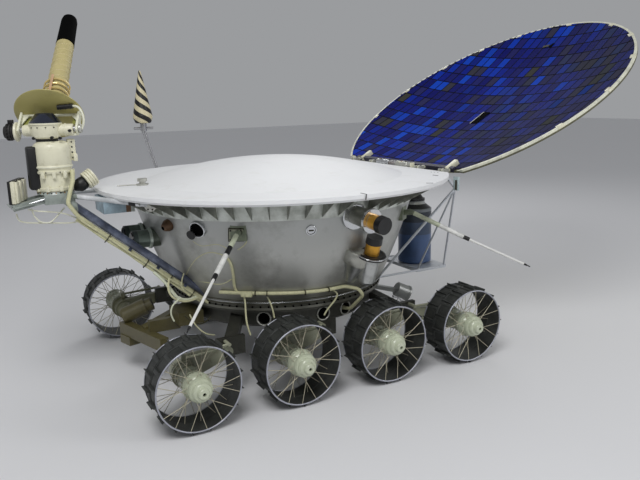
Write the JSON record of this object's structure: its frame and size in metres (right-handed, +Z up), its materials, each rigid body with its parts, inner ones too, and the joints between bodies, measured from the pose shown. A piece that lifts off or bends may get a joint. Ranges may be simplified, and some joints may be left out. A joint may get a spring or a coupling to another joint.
{
  "type": "planetary rover",
  "caption": "Wheeled planetary rover: tub hull under a round domed radiator, hinged round solar lid, wire wheels, steerable helical aerial, cameras and a rear heat source.",
  "frame": {"origin": "on the ground under the middle of the overall length, on the centre plane", "axes": "+X forward towards the cameras and the steerable aerial, +Y to the rover's left, +Z up"},
  "size_m": [4.1423, 2.4042, 2.1201],
  "materials": {
    "wheel_metal": "worn wire, mesh and lug plates",
    "drive_housing": "cream green enamel",
    "hull_skin": "silver painted sheet",
    "radiator_white": "matt white thermal paint",
    "gusset_alloy": "silver painted sheet ribs",
    "chassis_alloy": "dull grey alloy",
    "whip_enamel": "cream enamel",
    "camera_silver": "silver sheet with gold bands",
    "lid_frame": "cream painted rim and back",
    "solar_cells": "blue and grey solar cells",
    "hinge_alloy": "machined alloy",
    "truss_grey": "blue grey enamel tube",
    "aerial_cream": "cream enamel",
    "mast_steel": "thin steel rod",
    "cone_stripes": "black and cream spiral",
    "reflector_blue": "light blue box",
    "instrument_olive": "olive enamel",
    "probe_steel": "plain steel",
    "heat_blue_grey": "dark blue grey cover with black dome",
    "frame_silver": "silver tube",
    "meter_steel": "thin steel wheel and arm",
    "plug_black": "black plug with a cream collar",
    "wiring_cream": "cream cable sleeves"
  },
  "bodies": {
    "rover": {"aerial_box": "aerial_cream", "aerial_drum": "aerial_cream", "aerial_plug": "plug_black", "aerial_truss": "truss_grey", "chassis": "chassis_alloy", "cone_aerial": "cone_stripes", "cone_mast": "mast_steel", "front_camera_left": "camera_silver", "front_camera_right": "camera_silver", "front_instrument": "instrument_olive", "harness": "wiring_cream", "heat_frame": "frame_silver", "heat_source": "heat_blue_grey", "hinge_brackets": "hinge_alloy", "hull_fittings": "hinge_alloy", "hull_tub": "hull_skin", "lid_drive": "hinge_alloy", "meter_bracket": "meter_steel", "penetrometer": "probe_steel", "plate_fitting": "hinge_alloy", "rear_can": "camera_silver", "reflector_box": "reflector_blue", "rim_gussets": "gusset_alloy", "side_camera_left": "camera_silver", "side_camera_right": "camera_silver", "swing_arm_left_1": "drive_housing", "swing_arm_left_2": "drive_housing", "swing_arm_left_3": "drive_housing", "swing_arm_left_4": "drive_housing", "swing_arm_right_1": "drive_housing", "swing_arm_right_2": "drive_housing", "swing_arm_right_3": "drive_housing", "swing_arm_right_4": "drive_housing", "top_plate": "radiator_white", "upright_camera_left": "camera_silver", "upright_camera_right": "camera_silver", "whip_front_left": "whip_enamel", "whip_rear_left": "whip_enamel", "whip_rear_right": "whip_enamel"},
    "aerial_head": {"aerial_helix": "aerial_cream"},
    "aerial_turret": {"aerial_yoke": "aerial_cream"},
    "solar_lid": {"lid_cells": "solar_cells", "lid_panel": "lid_frame"},
    "meter_arm_body": {"meter_arm": "meter_steel"},
    "meter_wheel_body": {"meter_wheel": "meter_steel"},
    "wheel_left_1_body": {"wheel_left_1": "wheel_metal"},
    "wheel_left_2_body": {"wheel_left_2": "wheel_metal"},
    "wheel_left_3_body": {"wheel_left_3": "wheel_metal"},
    "wheel_left_4_body": {"wheel_left_4": "wheel_metal"},
    "wheel_right_1_body": {"wheel_right_1": "wheel_metal"},
    "wheel_right_2_body": {"wheel_right_2": "wheel_metal"},
    "wheel_right_3_body": {"wheel_right_3": "wheel_metal"},
    "wheel_right_4_body": {"wheel_right_4": "wheel_metal"}
  },
  "joints": [
    {"name": "wheel_left_1_spin", "type": "hinge", "parent": "rover", "child": "wheel_left_1_body", "pos_m": [1.3875, 0.8, 0.234], "axis": [0, 1, 0], "continuous": true},
    {"name": "wheel_left_2_spin", "type": "hinge", "parent": "rover", "child": "wheel_left_2_body", "pos_m": [0.8192, 0.8, 0.234], "axis": [0, 1, 0], "continuous": true},
    {"name": "wheel_left_3_spin", "type": "hinge", "parent": "rover", "child": "wheel_left_3_body", "pos_m": [0.2508, 0.8, 0.234], "axis": [0, 1, 0], "continuous": true},
    {"name": "wheel_left_4_spin", "type": "hinge", "parent": "rover", "child": "wheel_left_4_body", "pos_m": [-0.3175, 0.8, 0.234], "axis": [0, 1, 0], "continuous": true},
    {"name": "wheel_right_1_spin", "type": "hinge", "parent": "rover", "child": "wheel_right_1_body", "pos_m": [1.3875, -0.8, 0.234], "axis": [0, 1, 0], "continuous": true},
    {"name": "wheel_right_2_spin", "type": "hinge", "parent": "rover", "child": "wheel_right_2_body", "pos_m": [0.8192, -0.8, 0.234], "axis": [0, 1, 0], "continuous": true},
    {"name": "wheel_right_3_spin", "type": "hinge", "parent": "rover", "child": "wheel_right_3_body", "pos_m": [0.2508, -0.8, 0.234], "axis": [0, 1, 0], "continuous": true},
    {"name": "wheel_right_4_spin", "type": "hinge", "parent": "rover", "child": "wheel_right_4_body", "pos_m": [-0.3175, -0.8, 0.234], "axis": [0, 1, 0], "continuous": true},
    {"name": "lid_hinge", "type": "hinge", "parent": "rover", "child": "solar_lid", "pos_m": [-0.39, 0, 1.126], "axis": [0, -1, 0], "range_deg": [-149.4, 30.6]},
    {"name": "aerial_azimuth", "type": "hinge", "parent": "rover", "child": "aerial_turret", "pos_m": [1.825, 0, 1.462], "axis": [0, 0, 1], "range_deg": [-140, 200]},
    {"name": "aerial_elevation", "type": "hinge", "parent": "aerial_turret", "child": "aerial_head", "pos_m": [1.825, 0, 1.462], "axis": [0.9205, -0.3907, 0], "range_deg": [-107, 13]},
    {"name": "meter_arm_lift", "type": "hinge", "parent": "rover", "child": "meter_arm_body", "pos_m": [-0.105, 0, 0.319], "axis": [0, 1, 0], "range_deg": [0, 25]},
    {"name": "meter_wheel_spin", "type": "hinge", "parent": "meter_arm_body", "child": "meter_wheel_body", "pos_m": [-0.37, 0, 0.089], "axis": [0, 1, 0], "continuous": true}
  ]
}
